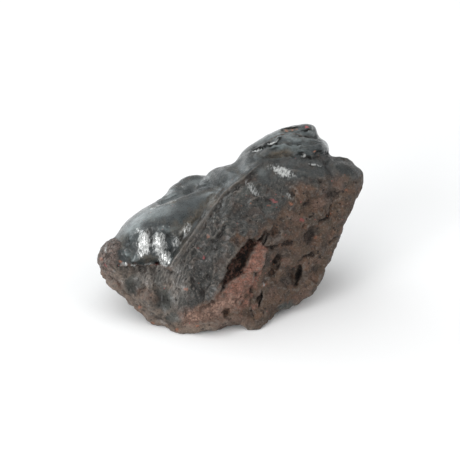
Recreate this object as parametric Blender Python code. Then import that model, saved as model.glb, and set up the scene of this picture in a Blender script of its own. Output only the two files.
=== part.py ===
"""A hand specimen of kidney ore: hematite that grew as one mass with a smooth, lobed crust.

The stone is one solid. Its crust of rounded lobes covers the top and wraps over the back; the front and
the sides are where it broke, and show scooped fracture, a deep crevice and weathered pits.

Every form is set out on a drawing of the stone's front, seen from DRAWING_ELEVATION above the horizon,
with x across to the right, y up the drawing and z toward the viewer, in millimetres from the middle of
the stone. The finished mesh is then tipped back by that angle and stands on its flat foot at z = 0.
"""

import math
from collections import namedtuple

import bmesh
import bpy
import numpy as np
from mathutils import Matrix, Vector, noise

MM = 0.001
DRAWING_ELEVATION = math.radians(30)
DRAWING_MIDDLE = (-0.21, -1.55, 18.6)
FOOT_CUTTER_SIZE = (120.0, 120.0, 30.0)

CORE_TURN = 30.0
CORE_MIDDLE = (0.0, 0.0, -2.0)
CORE_REACH = (17.0, 9.0, 1.0)
SPHERE_LEVEL = 7
OUTER_REACH = 34.0
BACKSTOP = -16.0
MARCH_STEPS = 40
HALVINGS = 12
RELAX_STEPS = 2
RELAX_FACTOR = 0.5
FACES_KEPT = 11500

CORNER_ROUNDING = 2.6
OUTLINE_BOW = 26.0
OUTLINE_LEAN = 0.38
OUTLINE_SETBACK = 1.0
OUTLINE_ROUNDING = 1.2
LOBE_BLEND = 0.9
CRUST_BLEND = 1.2
SCOOP_BLEND = 0.8
PIT_BLEND = 0.4
SEAM_BLEND = 0.4
CREASE_BLEND = 1.2
CRACK_BLEND = 0.35
BOWL_LIFT = 1.5
SLOPE_STEP = 0.4

CRUST_REACH = 1.6
SWELL = (11.0, 0.8)
CRUST_ROUGHNESS = (7.0, 0.3)
BROKEN_ROUGHNESS = (3.6, 0.34)
GRAIN_FADE = 0.8
GRAIN_STEP = 2.1
GRAIN_SIZES = 4

Lobe = namedtuple("Lobe", "middle long wide deep turn")
Cut = namedtuple("Cut", "place long wide deep turn")
Chip = namedtuple("Chip", "place facing radius deep")
Line = namedtuple("Line", "width places")
Notch = namedtuple("Notch", "place long left right deep reach turn")

# The stone's outline on the drawing, from its right end round over the top. Along the crust it is drawn
# loose, because the lobes give the edge there.
OUTLINE = (
    (30.0, 1.0), (32.6, 4.9), (34.8, 9.4), (35.6, 12.5), (35.3, 15.2), (33.4, 17.8), (31.0, 19.3),
    (28.5, 19.8), (26.3, 20.2), (25.6, 22.8), (23.6, 25.8), (22.9, 28.2), (18.1, 28.4), (13.7, 27.6),
    (9.6, 25.8), (4.6, 22.2), (0.6, 18.4), (-6.0, 17.4), (-13.0, 15.4), (-17.0, 11.0), (-20.5, 7.6),
    (-24.6, 5.9), (-27.8, 2.8), (-30.0, -0.8), (-32.4, -2.0), (-34.7, -4.7), (-35.4, -7.4), (-34.8, -10.4),
    (-32.6, -14.0), (-28.0, -18.2), (-25.8, -20.8), (-22.6, -23.2), (-19.4, -25.8), (-13.7, -27.3),
    (-11.0, -28.2), (-8.6, -27.6), (-6.8, -26.7), (-3.5, -26.5), (0.0, -25.6), (3.0, -25.7), (6.2, -27.0),
    (8.6, -26.0), (13.3, -21.6), (18.6, -20.2), (23.2, -15.8), (25.6, -13.2), (25.2, -9.8), (27.6, -5.8),
    (29.5, -1.4),
)

# Faces of the broken block: the way each one faces, and a place on it.
BLOCK_FACES = {
    "front_right": ((0.56, -0.29, 1.00), (0, 0, 18.2)),
    "front_left": ((-0.36, -0.10, 1.00), (0, 0, 16.6)),
    "front_upper": ((0.25, 0.42, 1.00), (0, 0, 17.5)),
    "under_crust": ((-0.63, 0.53, 0.57), (-5, 3, 11)),
    "lower_left": ((-0.66, -0.66, -0.30), (-28, -20.5, 5)),
    "lower_right": ((0.58, -0.70, -0.35), (20, -21.5, 3)),
    "right": ((0.92, -0.36, -0.20), (32.2, 0.5, 0)),
    "upper_right": ((0.42, 0.85, 0.20), (33, 19.6, -3)),
    "left": ((-1.00, 0.10, 0.10), (-33.0, -7, 0)),
    "top": ((0.15, 1.00, -0.20), (18, 23.5, -8)),
    "upper_left": ((-0.54, 0.84, -0.12), (-11, 10, -6)),
    "back": ((0.00, 0.33, -0.97), (0, 0, -20)),
    "back_left": ((-0.80, 0.30, -0.52), (-22, 0, -8)),
    "back_right": ((0.78, 0.38, -0.50), (33, 10, -12)),
    "under": ((0.00, -0.90, -0.43), (0, -26.4, 8)),
}

# The crust's lobes, from the large one at the left up to the dome at the right.
CRUST_LOBES = (
    Lobe((-15.4, -0.4, -2.3), 17.0, 9.3, 12.2, 29),
    Lobe((-22.0, -3.9, -2.8), 9.2, 8.8, 12.4, 25),
    Lobe((-6.5, 5.0, -3.0), 7.2, 6.0, 10.0, 10),
    Lobe((-14.0, 6.3, -9.0), 8.2, 4.9, 7.0, 34),
    Lobe((-9.4, 9.4, -12.0), 6.4, 5.6, 6.5, 12),
    Lobe((-0.5, 10.2, -6.0), 7.6, 7.1, 8.5, 15),
    Lobe((7.5, 14.6, -7.0), 8.5, 7.0, 9.0, 38),
    Lobe((15.8, 23.9, -9.4), 9.4, 4.8, 6.4, 12),
    Lobe((16.0, 19.2, -5.4), 10.6, 5.2, 8.0, 4),
    Lobe((17.0, 11.2, 0.4), 13.5, 7.4, 9.6, -6),
)

# The rough knob at the left end, and swellings of the broken front.
FRONT_LOBES = (
    Lobe((-30.4, -7.4, 2.0), 5.4, 5.0, 6.5, 60),
    Lobe((-27.6, -13.6, 2.0), 6.0, 4.6, 7.0, -40),
    Lobe((-7.0, -10.4, 6.4), 11.5, 5.6, 8.0, 62),
    Lobe((12.6, -0.6, 6.0), 6.2, 4.6, 5.6, 20),
    Lobe((-19.6, -14.0, 3.4), 8.0, 4.4, 7.0, -15),
    Lobe((-20.8, -18.4, 3.4), 7.4, 5.0, 6.8, -32),
    Lobe((-14.0, -16.6, 5.4), 7.5, 4.6, 6.6, 80),
    Lobe((-11.2, -25.6, 6.0), 4.6, 2.6, 5.0, 0),
    Lobe((6.6, -23.8, 4.4), 5.4, 3.4, 5.2, 25),
)

# Lobes of the crust where it wraps over the back.
BACK_LOBES = (
    Lobe((-22.0, -3.0, -7.0), 8.0, 7.0, 6.0, 20),
    Lobe((-14.0, 3.0, -14.6), 9.0, 7.5, 6.0, 10),
    Lobe((-3.5, 8.0, -13.2), 8.5, 7.0, 6.0, 30),
    Lobe((6.5, 13.0, -11.6), 9.0, 7.0, 6.0, 10),
    Lobe((17.0, 17.0, -11.0), 8.5, 7.5, 6.0, 40),
    Lobe((3.5, 1.0, -16.2), 9.5, 6.5, 6.0, 0),
    Lobe((-9.0, -7.0, -17.6), 8.5, 7.0, 6.0, 30),
    Lobe((14.5, 6.0, -14.6), 8.0, 7.0, 6.0, 60),
    Lobe((24.0, 8.0, -13.0), 7.5, 6.5, 6.0, 20),
    Lobe((7.5, 18.4, -8.4), 7.5, 5.4, 6.4, 30),
    Lobe((22.5, 18.6, -9.6), 6.5, 6.5, 6.2, -10),
)

# Chips off the sides and the underside.
CHIPS = (
    Chip((26, 6, -6), (0.92, -0.30, 0.05), 9.0, 1.0),
    Chip((24, -2, -8), (0.92, -0.36, -0.20), 8.0, 1.4),
    Chip((20, -10, -2), (0.80, -0.60, 0.00), 7.0, 1.0),
    Chip((14, -14, -8), (0.58, -0.70, -0.35), 10.0, 1.8),
    Chip((26, 12, -10), (0.60, 0.60, -0.40), 7.0, 1.2),
    Chip((-20, -16, -8), (-0.60, -0.60, -0.50), 9.0, 1.2),
    Chip((4, -14, -14), (0.10, -0.60, -0.75), 11.0, 1.6),
    Chip((22, -2, -14), (0.50, -0.10, -0.86), 9.0, 1.4),
)

# Shallow scoops where flakes came off the broken front.
SCOOPS = (
    Cut((2.6, 4.4), 5.8, 4.2, 1.8, 10),
    Cut((-3.8, -2.2), 4.2, 3.0, 0.8, 60),
    Cut((10.5, 7.0), 5.5, 3.4, 0.8, 20),
    Cut((-25.6, -14.9), 2.6, 2.0, 0.7, 0),
    Cut((-17.0, -18.6), 3.6, 2.6, 0.5, -60),
    Cut((21.9, -1.2), 2.8, 2.6, 1.4, 0),
    Cut((26.6, 9.0), 3.4, 2.6, 1.2, 20),
    Cut((-1.0, -25.6), 6.0, 1.8, 1.4, 0),
    Cut((-8.2, -12.2), 4.4, 2.6, 1.2, 66),
    Cut((17.0, -19.2), 6.0, 3.2, 0.8, 35),
    Cut((-5.0, -21.2), 6.5, 2.2, 0.8, 12),
    Cut((23.6, -12.0), 3.4, 2.2, 0.8, 50),
    Cut((21.0, 6.2), 3.2, 2.2, 0.8, 30),
    Cut((12.5, 2.6), 3.0, 1.8, 0.6, 0),
)

# The crevice: a steep wall at its left, and the long slope of a slab at its right.
CREVICE = Notch((3.0, -9.2), 7.6, 1.9, 4.6, 3.6, 6.0, 57)

# Steep pits.
PITS = (
    Cut((2.1, -8.2), 6.2, 1.7, 5.4, 57),
    Cut((8.8, -2.5), 2.5, 0.8, 3.2, 62),
    Cut((11.7, -1.0), 1.7, 1.0, 1.5, 60),
    Cut((12.8, -8.7), 1.7, 1.1, 2.6, 60),
    Cut((11.5, -11.6), 1.7, 0.9, 1.2, 70),
    Cut((18.1, -12.3), 2.7, 1.0, 3.2, 80),
    Cut((7.9, -18.0), 2.0, 0.6, 2.2, 75),
    Cut((-0.7, -22.0), 1.6, 0.9, 1.4, 20),
)

# The raised seam along the crust's broken edge.
SEAM = Line(0.95, ((-14.8, -9.4), (-12.6, -5.7), (-10.6, -3.0), (-8.4, 0.0), (-6.6, 2.7), (-4.9, 5.5),
                   (-3.1, 8.0), (-1.5, 9.8), (1.3, 12.1), (4.9, 14.9), (7.0, 16.7)))

# Creases where the crust's lobes meet, and along its lower rim.
CREASES = (
    Line(0.8, ((-17.6, 8.4), (-13.2, 10.2), (-9.7, 11.3), (-6.2, 11.8), (-3.5, 11.2), (-1.8, 9.8))),
    Line(0.6, ((-6.0, 14.4), (-5.4, 13.2), (-4.4, 12.0))),
    Line(0.6, ((2.2, 16.2), (3.0, 15.2), (4.2, 14.0))),
    Line(0.7, ((6.6, 20.8), (8.8, 21.9), (11.0, 22.9), (13.5, 23.8), (17.5, 24.4), (21.5, 23.6))),
    Line(0.7, ((9.5, 18.6), (14.1, 19.0), (18.0, 20.1), (20.5, 19.3), (24.0, 19.6))),
    Line(0.5, ((24.8, 18.8), (25.6, 17.0), (26.6, 15.0))),
    Line(0.6, ((-28.2, -9.4), (-24.3, -9.8), (-22.0, -9.2), (-19.4, -9.5), (-17.2, -10.0), (-15.4, -11.0))),
)

# Cracks on the broken front.
CRACKS = (
    Line(0.5, ((-7.0, -0.2), (-5.2, 2.8), (-3.6, 5.2), (-2.2, 7.4))),
    Line(0.5, ((8.6, -4.2), (10.6, -4.9), (12.8, -4.8), (16.8, -3.6))),
    Line(0.55, ((18.6, -8.7), (20.2, -7.0), (23.3, -6.2))),
    Line(0.5, ((21.6, 3.0), (25.2, 2.8), (27.2, 4.2), (28.0, 6.6))),
)


def unit(vector):
    """The vector, or each row of vectors, at a length of 1."""
    vector = np.asarray(vector, float)
    return vector / np.linalg.norm(vector, axis=-1, keepdims=True)


def smooth_max(a, b, blend):
    """The larger of two fields, rounded over where they meet."""
    share = np.clip(0.5 + 0.5 * (a - b) / blend, 0, 1)
    return b + (a - b) * share + blend * share * (1 - share)


def smooth_min(a, b, blend):
    """The smaller of two fields, filleted where they meet."""
    return -smooth_max(-a, -b, blend)


def in_drawing(degrees):
    """The axes of a form that is turned in the plane of the drawing."""
    cos, sin = math.cos(math.radians(degrees)), math.sin(math.radians(degrees))
    return np.array([(cos, sin, 0), (-sin, cos, 0), (0, 0, 1)])


def on_slope(degrees, out):
    """The axes of a form that is turned as on the drawing, but lies on a surface that faces out."""
    across = unit(np.cross(in_drawing(degrees)[1], out))
    return np.array([across, np.cross(out, across), out])


def ellipsoid(points, middle, radii, axes):
    """Roughly the distance to an ellipsoid's surface, negative inside it."""
    local = (points - np.asarray(middle, float)) @ axes.T
    radii = np.asarray(radii, float)
    inner = np.linalg.norm(local / radii, axis=1)
    slope = np.linalg.norm(local / radii**2, axis=1) + 1e-9
    return inner * (inner - 1) / slope


def polyline(points, corners):
    """The distance to the nearest place on a line through the corners."""
    nearest = np.full(len(points), np.inf)
    for start, end in zip(corners, corners[1:]):
        run = end - start
        share = np.clip((points - start) @ run / (run @ run), 0, 1)
        nearest = np.minimum(nearest, np.linalg.norm(points - start - share[:, None] * run, axis=1))
    return nearest


def within_outline(points):
    """How far each point is outside the outline, which leans back and bows in before and behind."""
    corners = np.array(OUTLINE + OUTLINE[:1], float)
    x, y, z = points.T
    inside = np.zeros(len(points), bool)
    for (x0, y0), (x1, y1) in zip(corners, corners[1:]):
        if y0 != y1:
            inside ^= ((y0 > y) != (y1 > y)) & (x < x0 + (y - y0) * (x1 - x0) / (y1 - y0))
    off = polyline(points[:, :2], corners)
    behind = z + OUTLINE_SETBACK + OUTLINE_LEAN * y
    return np.where(inside, -off, off) + behind**2 / (2 * OUTLINE_BOW)


def block(points):
    """The broken block without its crust: its faces, with their edges rounded."""
    field = None
    for facing, place in BLOCK_FACES.values():
        face = (points - np.asarray(place, float)) @ unit(facing)
        field = face if field is None else smooth_max(field, face, CORNER_ROUNDING)
    return field


def grown(points, lobes, blend):
    """The lobes of one group, run together."""
    field = None
    for lobe in lobes:
        one = ellipsoid(points, lobe.middle, (lobe.long, lobe.wide, lobe.deep), in_drawing(lobe.turn))
        field = one if field is None else smooth_min(field, one, blend)
    return field


def crust(points):
    """The crust: its lobes over the top and its lobes over the back."""
    return grown(points, CRUST_LOBES + BACK_LOBES, CRUST_BLEND)


def mass(points):
    """The block with every lobe grown on it, kept within the outline."""
    field = smooth_min(block(points), grown(points, FRONT_LOBES, LOBE_BLEND), LOBE_BLEND)
    field = smooth_min(field, crust(points), LOBE_BLEND)
    return smooth_max(field, within_outline(points), OUTLINE_ROUNDING)


def on_surface(places, facing):
    """The places moved out along the direction that they face, each onto the surface of the mass."""
    places = np.asarray(places, float)
    facing = np.asarray(facing, float)
    near = np.zeros(len(places))
    far = np.full(len(places), OUTER_REACH)
    searching = np.ones(len(places), bool)
    for reach in np.linspace(OUTER_REACH - BACKSTOP, 0, 2 * MARCH_STEPS):
        inside = searching & (mass(places + facing * reach) < 0)
        near[inside] = reach
        searching &= ~inside
        far[searching] = reach
    for _ in range(HALVINGS):
        middle = (near + far) / 2
        inside = mass(places + facing * middle[:, None]) < 0
        near = np.where(inside, middle, near)
        far = np.where(inside, far, middle)
    return places + facing * near[:, None]


def on_front(places):
    """Places of the drawing, brought forward onto the front of the mass."""
    return on_surface([(x, y, BACKSTOP) for x, y in places], np.tile((0.0, 0.0, 1.0), (len(places), 1)))


def slope(places):
    """The way the mass's surface faces at each place."""
    steps = SLOPE_STEP * np.eye(3)
    rise = [mass(places + step) - mass(places - step) for step in steps]
    return unit(np.stack(rise, axis=1))


def cut_on_front(cuts, lift):
    """Each cut's middle, radii and axes, lying on the front; lift raises the middle by so many depths."""
    places = on_front([cut.place for cut in cuts])
    opening = math.sqrt(1 - (lift / (lift + 1)) ** 2)
    forms = []
    for cut, place, out in zip(cuts, places, slope(places)):
        radii = (cut.long / opening, cut.wide / opening, cut.deep * (lift + 1))
        forms.append((place + out * lift * cut.deep, radii, on_slope(cut.turn, out)))
    return forms


def notch(points, place, out):
    """How far outside the crevice's notch each point is."""
    local = (points - place) @ on_slope(CREVICE.turn, out).T
    left, above = local[:, 1], local[:, 2]
    wall = left - CREVICE.left
    fall = CREVICE.deep / (CREVICE.left + CREVICE.right)
    ramp = (-fall * (left + CREVICE.right) - above) / math.hypot(1, fall)
    ends = ellipsoid(local, (0, 0, 0), (CREVICE.long, CREVICE.reach, CREVICE.reach), np.eye(3))
    return smooth_max(smooth_max(wall, ramp, PIT_BLEND), ends, PIT_BLEND)


def carved(field):
    """The field with its raised seam, and its chips, scoops, creases, crevice, pits and cracks."""
    facing = unit([chip.facing for chip in CHIPS])
    chipped = on_surface([chip.place for chip in CHIPS], facing)
    scoops = cut_on_front(SCOOPS, BOWL_LIFT)
    pits = cut_on_front(PITS, 0)
    crevice = on_front([CREVICE.place])
    crevice_out = slope(crevice)
    seam = on_front(SEAM.places)
    creases = [on_front(line.places) for line in CREASES]
    cracks = [on_front(line.places) for line in CRACKS]

    def shape(points):
        value = field(points)
        for chip, place, out in zip(CHIPS, chipped, facing):
            middle = place + out * (chip.radius - chip.deep)
            ball = np.linalg.norm(points - middle, axis=1) - chip.radius
            value = smooth_max(value, -ball, SCOOP_BLEND)
        for form in scoops:
            value = smooth_max(value, -ellipsoid(points, *form), SCOOP_BLEND)
        for line, corners in zip(CREASES, creases):
            value = smooth_max(value, line.width - polyline(points, corners), CREASE_BLEND)
        value = smooth_min(value, polyline(points, seam) - SEAM.width, SEAM_BLEND)
        value = smooth_max(value, -notch(points, crevice[0], crevice_out[0]), PIT_BLEND)
        for form in pits:
            value = smooth_max(value, -ellipsoid(points, *form), PIT_BLEND)
        for line, corners in zip(CRACKS, cracks):
            value = smooth_max(value, line.width - polyline(points, corners), CRACK_BLEND)
        return value

    return shape


def drawn_in(field):
    """A sphere whose points are drawn in onto the field's surface, each toward the stone's flat core."""
    sphere = bmesh.new()
    bmesh.ops.create_icosphere(sphere, subdivisions=SPHERE_LEVEL, radius=1)
    facing = unit([vertex.co for vertex in sphere.verts])
    axes = in_drawing(CORE_TURN)
    start = CORE_MIDDLE + (facing @ axes.T * CORE_REACH) @ axes

    near = np.zeros(len(facing))
    far = np.full(len(facing), OUTER_REACH)
    searching = np.ones(len(facing), bool)
    for reach in np.linspace(OUTER_REACH, 0, MARCH_STEPS)[1:]:
        inside = field(start[searching] + facing[searching] * reach) < 0
        found = np.flatnonzero(searching)[inside]
        near[found] = reach
        searching[found] = False
        far[searching] = reach
    for _ in range(HALVINGS):
        middle = (near + far) / 2
        inside = field(start + facing * middle[:, None]) < 0
        near = np.where(inside, middle, near)
        far = np.where(inside, far, middle)
    for vertex, place in zip(sphere.verts, start + facing * near[:, None]):
        vertex.co = place
    for _ in range(RELAX_STEPS):
        bmesh.ops.smooth_vert(sphere, verts=sphere.verts, factor=RELAX_FACTOR, use_axis_x=True,
                              use_axis_y=True, use_axis_z=True)
    return sphere


def roughen(surface):
    """Moves the surface in and out: slow swells all over, and roughness that is coarse where it broke."""
    surface.normal_update()
    points = np.array([vertex.co for vertex in surface.verts])
    crusted = np.clip(1 - crust(points) / CRUST_REACH, 0, 1)
    for vertex, share in zip(surface.verts, crusted):
        place = vertex.co.copy()
        lift = SWELL[1] * (1 - share) * noise.noise(place / SWELL[0])
        lift += CRUST_ROUGHNESS[1] * share * noise.noise(place / CRUST_ROUGHNESS[0])
        grain = noise.fractal(place / BROKEN_ROUGHNESS[0], GRAIN_FADE, GRAIN_STEP, GRAIN_SIZES)
        lift += BROKEN_ROUGHNESS[1] * (1 - share) * grain
        vertex.co = place + vertex.normal * lift


def stand(surface):
    """Tips the drawing back to its place over the ground."""
    tip = Matrix.Rotation(math.pi / 2 - DRAWING_ELEVATION, 4, "X")
    surface.transform(Matrix.Scale(MM, 4) @ Matrix.Translation(DRAWING_MIDDLE) @ tip)


def foot_cutter():
    """A box under the ground, which leaves the stone a flat foot at z = 0."""
    collection = bpy.data.collections.new("cutters")
    bpy.context.scene.collection.children.link(collection)
    box = bmesh.new()
    bmesh.ops.create_cube(box, size=1)
    size = Vector(FOOT_CUTTER_SIZE) * MM
    box.transform(Matrix.Translation((0, 0, -size.z / 2)) @ Matrix.Diagonal(size).to_4x4())
    mesh = bpy.data.meshes.new("ground")
    box.to_mesh(mesh)
    box.free()
    cutter = bpy.data.objects.new("ground", mesh)
    cutter.hide_render = True
    cutter.display_type = "WIRE"
    collection.objects.link(cutter)
    return cutter


def stone_material():
    """Dull, dark grey iron oxide."""
    material = bpy.data.materials.new("hematite")
    material.use_nodes = True
    shader = material.node_tree.nodes["Principled BSDF"]
    shader.inputs["Base Color"].default_value = (0.075, 0.068, 0.064, 1)
    shader.inputs["Roughness"].default_value = 0.45
    shader.inputs["Metallic"].default_value = 0.35
    return material


def clear_scene():
    """Removes whatever the scene holds."""
    for obj in list(bpy.data.objects):
        bpy.data.objects.remove(obj, do_unlink=True)


def main():
    """Builds the stone."""
    clear_scene()
    collection = bpy.data.collections.new("hematite_specimen")
    bpy.context.scene.collection.children.link(collection)

    surface = drawn_in(carved(mass))
    roughen(surface)
    stand(surface)
    mesh = bpy.data.meshes.new("hematite")
    surface.to_mesh(mesh)
    surface.free()
    mesh.materials.append(stone_material())
    mesh.shade_smooth()
    stone = bpy.data.objects.new("hematite", mesh)
    collection.objects.link(stone)

    thin = stone.modifiers.new("fewer_faces", "DECIMATE")
    thin.ratio = FACES_KEPT / len(mesh.polygons)
    thin.use_collapse_triangulate = True
    foot = stone.modifiers.new("flat_foot", "BOOLEAN")
    foot.operation = "DIFFERENCE"
    foot.solver = "EXACT"
    foot.object = foot_cutter()


main()
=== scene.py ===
"""The hematite specimen as it looks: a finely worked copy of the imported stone, and a plain studio.

Forms and colours are placed on a drawing of the stone's front, in millimetres: across to the right, up,
and toward the viewer, who looks down at the stone from CAMERA_ELEVATION above the horizon.
"""

import math
from collections import namedtuple

import bmesh
import bpy
import numpy as np
from mathutils import Matrix, Vector, noise


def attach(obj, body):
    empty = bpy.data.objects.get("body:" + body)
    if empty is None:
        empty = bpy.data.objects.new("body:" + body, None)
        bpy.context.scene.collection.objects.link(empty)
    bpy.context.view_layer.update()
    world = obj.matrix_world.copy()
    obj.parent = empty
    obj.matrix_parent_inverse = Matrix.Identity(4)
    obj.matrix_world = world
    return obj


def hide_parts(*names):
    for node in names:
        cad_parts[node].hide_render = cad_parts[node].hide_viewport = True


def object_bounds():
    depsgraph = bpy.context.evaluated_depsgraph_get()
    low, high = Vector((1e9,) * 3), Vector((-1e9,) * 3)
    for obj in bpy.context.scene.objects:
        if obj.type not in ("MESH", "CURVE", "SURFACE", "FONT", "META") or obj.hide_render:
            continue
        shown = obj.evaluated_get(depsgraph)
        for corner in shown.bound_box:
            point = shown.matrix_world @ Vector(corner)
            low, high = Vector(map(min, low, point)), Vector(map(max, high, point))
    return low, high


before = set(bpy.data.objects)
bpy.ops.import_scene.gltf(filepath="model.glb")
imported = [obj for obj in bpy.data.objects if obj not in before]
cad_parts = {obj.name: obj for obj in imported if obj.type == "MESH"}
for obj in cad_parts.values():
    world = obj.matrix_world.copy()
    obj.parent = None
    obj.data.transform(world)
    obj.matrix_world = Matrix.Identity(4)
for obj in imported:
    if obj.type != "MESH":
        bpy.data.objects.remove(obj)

packed_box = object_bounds()

MM = 0.001

# The camera's place, and the drawing's. SIN and COS are those of the elevation.
CAMERA_ELEVATION = math.radians(30)
SIN, COS = math.sin(CAMERA_ELEVATION), math.cos(CAMERA_ELEVATION)
CAMERA_DISTANCE = 0.6
CAMERA_REACH = 20
DRAWING_MIDDLE = (-0.21, -1.55, 18.6)
DRAWING_MM_PER_PIXEL = 0.265
PICTURE_WIDTH = 460
SENSOR_WIDTH = 36.0

# How finely the stone's surface is worked.
POINT_SPACING = 0.36
SAME_POINT = 0.002
CRUST_SMOOTHING = 14
BROKEN_SMOOTHING = 3
BOX_MARGIN = 0.03
SEED_STEP = 17.31

Lobe = namedtuple("Lobe", "middle long wide deep turn")
Spot = namedtuple("Spot", "place long wide turn height", defaults=(1,))
Ridge = namedtuple("Ridge", "width height places")
Plate = namedtuple("Plate", "height edge corners")
Swell = namedtuple("Swell", "place reach height")


def table(kind, *rows):
    """Rows of numbers, as things of one kind."""
    return tuple(kind(*row) for row in rows)


# The lobes of the crust, which say where the surface is crust and not broken stone.
CRUST_LOBES = table(
    Lobe,
    ((-15.4, -0.4, -2.3), 17.0, 9.3, 12.2, 29),
    ((-22.0, -3.9, -2.8), 9.2, 8.8, 12.4, 25),
    ((-6.5, 5.0, -3.0), 7.2, 6.0, 10.0, 10),
    ((-14.0, 6.3, -9.0), 8.2, 4.9, 7.0, 34),
    ((-9.4, 9.4, -12.0), 6.4, 5.6, 6.5, 12),
    ((-0.5, 10.2, -6.0), 7.6, 7.1, 8.5, 15),
    ((7.5, 14.6, -7.0), 8.5, 7.0, 9.0, 38),
    ((15.8, 23.9, -9.4), 9.4, 4.8, 6.4, 12),
    ((16.0, 19.2, -5.4), 10.6, 5.2, 8.0, 4),
    ((17.0, 11.2, 0.4), 13.5, 7.4, 9.6, -6),
    ((-22.0, -3.0, -7.0), 8.0, 7.0, 6.0, 20),
    ((-14.0, 3.0, -14.6), 9.0, 7.5, 6.0, 10),
    ((-3.5, 8.0, -13.2), 8.5, 7.0, 6.0, 30),
    ((6.5, 13.0, -11.6), 9.0, 7.0, 6.0, 10),
    ((17.0, 17.0, -11.0), 8.5, 7.5, 6.0, 40),
    ((3.5, 1.0, -16.2), 9.5, 6.5, 6.0, 0),
    ((-9.0, -7.0, -17.6), 8.5, 7.0, 6.0, 30),
    ((14.5, 6.0, -14.6), 8.0, 7.0, 6.0, 60),
    ((24.0, 8.0, -13.0), 7.5, 6.5, 6.0, 20),
    ((7.5, 18.4, -8.4), 7.5, 5.4, 6.4, 30),
    ((22.5, 18.6, -9.6), 6.5, 6.5, 6.2, -10),
)
CRUST_REACH = 1.9

# Lines of the front, by their places on the drawing.
SEAM = ((-15.4, -9.8), (-14.0, -7.8), (-12.6, -5.7), (-10.6, -3.0), (-8.4, 0.0), (-6.6, 2.7), (-4.9, 5.5),
        (-3.1, 8.0), (-1.5, 9.8), (1.3, 12.1), (4.9, 14.9), (8.4, 17.8))
RIM = ((-28.2, -9.1), (-24.3, -9.4), (-22.0, -8.7), (-19.4, -9.0), (-17.2, -9.5), (-15.4, -10.2))
CREASE = ((-20.2, 7.2), (-17.0, 8.5), (-13.4, 10.0), (-9.8, 11.0), (-6.4, 11.6), (-3.6, 11.2))
CREST_LINE = ((-20.6, 5.9), (-17.0, 7.4), (-13.2, 8.9), (-10.4, 9.7))
LIP = ((-34.0, -11.2), (-31.8, -14.2), (-28.6, -17.6), (-25.6, -20.8), (-22.6, -23.0), (-19.4, -25.4),
       (-13.0, -27.0))

# Areas of the front, by their corners, and lines that are part of their edges.
CRUST_AREA = ((-45.0, -2.5), (-31.2, -2.5), (-29.6, -6.0)) + RIM + SEAM[1:] + (
    (14.1, 18.4), (19.9, 19.4), (26.0, 19.6), (45.0, 30.0), (45.0, 60.0), (-45.0, 60.0))
DARK_TO_BROWN = ((1.3, -1.2), (3.4, -2.6), (8.5, 2.1), (12.4, 4.6), (15.9, 8.0), (16.8, 11.6), (22.1, 12.0),
                 (25.4, 12.6), (27.4, 13.6), (30.9, 13.4), (34.4, 13.0), (50.0, 12.6))
PLATE_EDGE = ((-7.1, -19.3), (-4.4, -18.0), (-1.5, -14.5), (-1.3, -10.1), (0.4, -5.7), (1.3, -1.2))
BROWN_AREA = ((-16.0, -50.0), (-15.0, -25.5), (-11.0, -21.4)) + PLATE_EDGE + DARK_TO_BROWN[1:] + (
    (50.0, -50.0),)
SLAB_AREA = ((7.1, -2.9), (8.6, -3.4), (9.2, -4.7), (9.1, -7.4), (7.9, -10.3), (6.6, -10.9),
             (6.0, -12.8), (5.4, -15.2), (5.2, -18.6), (1.6, -19.4), (-2.4, -18.4), (-1.4, -14.4),
             (0.9, -12.6), (2.6, -11.2), (4.2, -9.2), (5.1, -7.0), (6.0, -4.9))
LOW_BAND = ((-13.4, -21.6), (-9.0, -20.2), (-4.4, -18.6), (0.2, -17.0), (4.0, -17.2), (1.0, -20.6),
            (-3.0, -22.4), (-8.0, -24.4), (-12.4, -25.0))
LEAF_AREA = ((-4.5, -3.2), (-6.4, -6.4), (-8.8, -8.0), (-11.0, -10.6), (-11.2, -13.4), (-9.4, -16.6),
             (-7.4, -18.9), (-5.4, -18.2), (-4.9, -14.9), (-4.6, -11.6), (-4.2, -9.3), (-3.2, -6.4))
FIBRE_AREA = ((-17.2, -11.2), (-15.0, -9.4), (-11.8, -8.8), (-11.4, -13.0), (-11.0, -17.0), (-12.2, -21.4),
              (-14.2, -21.0), (-15.6, -16.4))
KNOB_AREA = ((-40.0, -2.2), (-31.6, -1.6), (-28.6, -3.2), (-29.2, -7.0), (-30.2, -9.0), (-32.4, -14.0),
             (-40.0, -12.0))
# The lower left is painted paler: pale stone, with painted light from the left front and from below.
PALE_PAINTED_LIGHT_AREA = ((-50.0, -9.0), (-30.0, -9.2), (-28.2, -9.6), (-24.3, -9.9), (-19.4, -9.7), (-15.6, -10.8),
              (-14.2, -13.0), (-13.0, -18.0), (-13.0, -21.4), (-10.0, -23.0), (-4.0, -22.6), (2.0, -22.4),
              (7.0, -25.0), (8.0, -50.0), (-50.0, -50.0))
GLOSSY_AREA = ((7.6, 17.8), (12.0, 18.5), (19.9, 19.2), (26.0, 19.4), (33.5, 18.0), (34.0, 14.4),
               (28.0, 14.2), (23.4, 13.8), (17.4, 13.4), (12.6, 13.6), (9.8, 12.0), (7.4, 12.6),
               (6.4, 14.6))
CREVICE = ((5.3, -3.1), (6.6, -3.4), (5.6, -5.3), (4.7, -7.4), (3.7, -9.4), (2.0, -11.4), (0.2, -12.8),
           (-1.4, -13.6), (-0.9, -10.9), (0.9, -7.4), (1.8, -5.3), (3.4, -3.9))

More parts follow.
